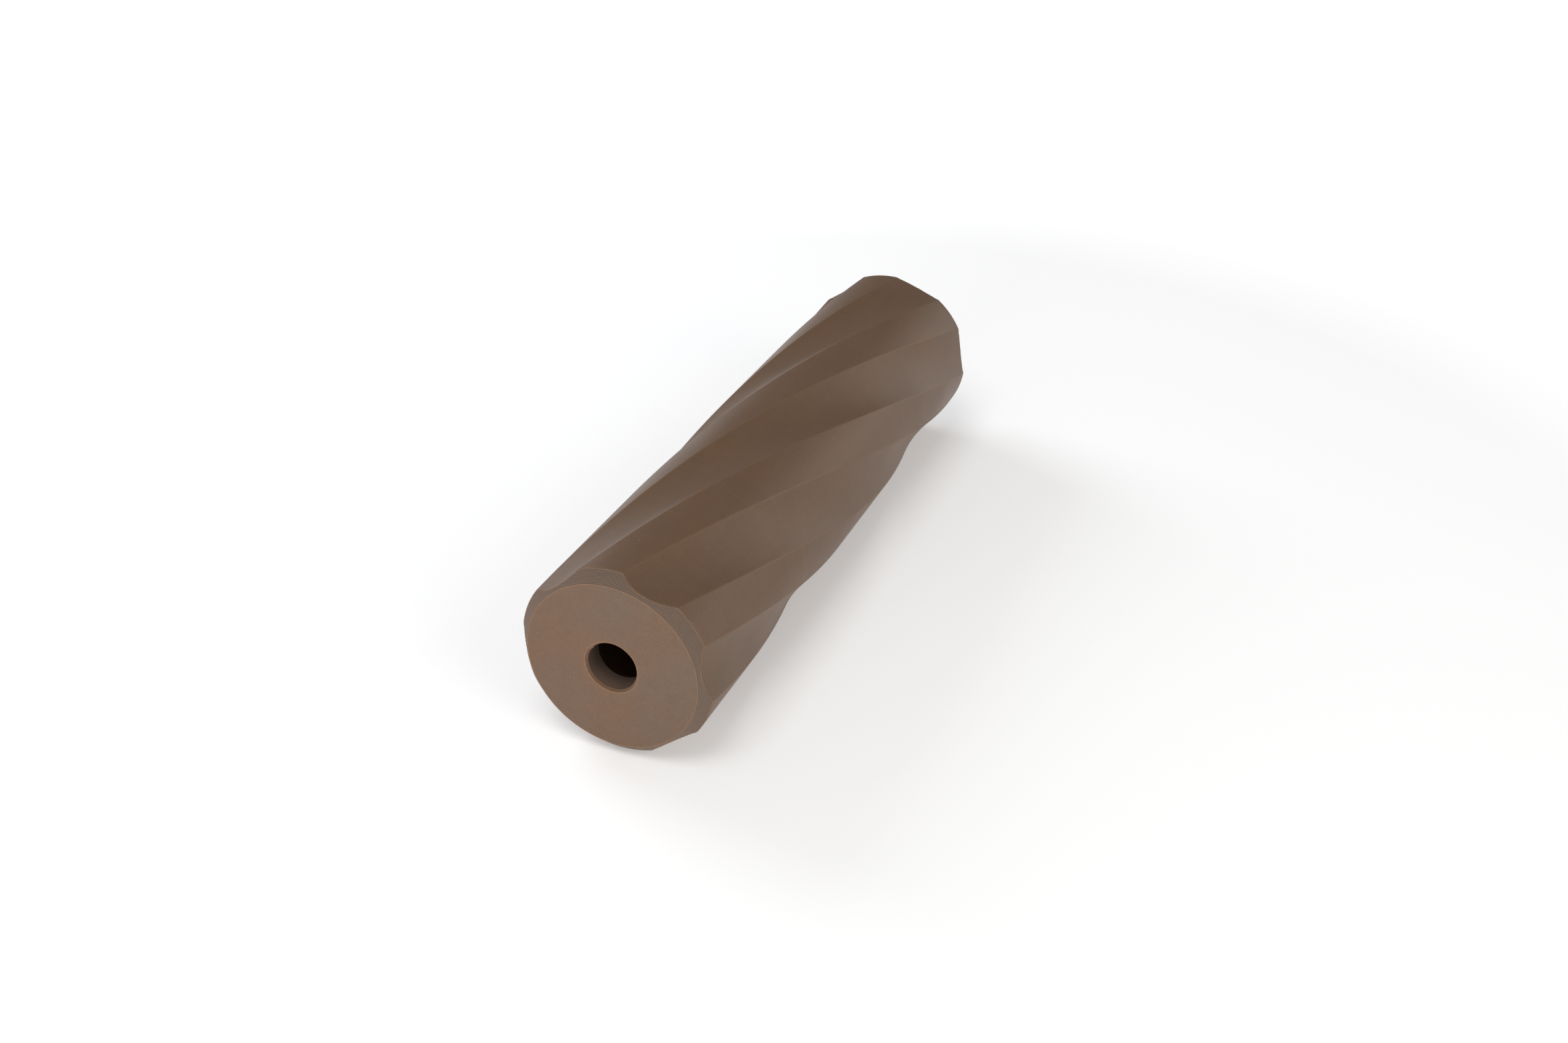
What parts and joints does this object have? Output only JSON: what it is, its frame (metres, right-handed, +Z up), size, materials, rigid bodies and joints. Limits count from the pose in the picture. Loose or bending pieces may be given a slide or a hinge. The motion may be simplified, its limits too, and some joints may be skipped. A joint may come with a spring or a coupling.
{
  "type": "rock tumbler barrel",
  "caption": "Slim fluted barrel for tumbling stones: rubber-lined chamber, dry hub behind a hole in the front face, expanding plug lid with a knob at the rear.",
  "frame": {"origin": "on the ground under the middle of the overall length, with the barrel lying on its side on two of its lands; the barrel's axis is 31 mm up", "axes": "+Y along the barrel's axis from the front face with the hole to the rear mouth with the lid, +Z up"},
  "size_m": [0.062, 0.25, 0.062],
  "materials": {
    "printed_body": "matt earth-brown printed plastic with fine layer lines",
    "printed_lid": "matt brown printed plastic, slightly darker",
    "knob_plastic": "satin black",
    "liner_rubber": "matt black moulded rubber",
    "seal_rubber": "smooth dark red rubber",
    "steel": "stainless, lightly brushed",
    "spring_steel": "dark oiled spring steel",
    "bronze": "turned bearing bronze",
    "brass": "turned brass",
    "nylon": "off-white nylon"
  },
  "bodies": {
    "barrel": {"barrel_shell": "printed_body", "front_bulkhead": "printed_lid", "bulkhead_o_ring": "seal_rubber", "bulkhead_screw_1": "steel", "bulkhead_screw_2": "steel", "bulkhead_screw_3": "steel", "bulkhead_screw_4": "steel", "hub_snap_ring": "spring_steel", "thrust_pad": "nylon", "liner_end_disc": "liner_rubber", "chamber_liner": "liner_rubber"},
    "bush": {"hub_bush": "bronze"},
    "closure": {"outer_lid": "printed_lid", "lid_gasket": "seal_rubber", "expansion_ring": "liner_rubber", "thrust_washer": "steel"},
    "clamp": {"inner_plate": "steel", "guide_pin_1": "steel", "guide_pin_2": "steel", "plate_facing": "liner_rubber", "bolt_seal_washer": "seal_rubber", "clamp_bolt": "steel", "knob_stop_ring": "spring_steel"},
    "knob": {"clamp_knob": "knob_plastic", "knob_insert": "brass"}
  },
  "joints": [
    {"name": "bush_spin", "type": "hinge", "parent": "barrel", "child": "bush", "pos_m": [0, -0.0901, 0.031], "axis": [0, 1, 0], "continuous": true},
    {"name": "closure_pull", "type": "slide", "parent": "barrel", "child": "closure", "axis": [0, 1, 0], "range_m": [0, 0.08]},
    {"name": "knob_turn", "type": "hinge", "parent": "closure", "child": "knob", "pos_m": [0, 0.1166, 0.031], "axis": [0, 1, 0], "range_deg": [0, 1080]},
    {"name": "clamp_travel", "type": "slide", "parent": "closure", "child": "clamp", "axis": [0, -1, 0], "range_m": [0, 0.00375]}
  ],
  "couplings": [
    {"joint": "knob_turn", "follows": "clamp_travel", "rad_per_m": 5026.5}
  ]
}
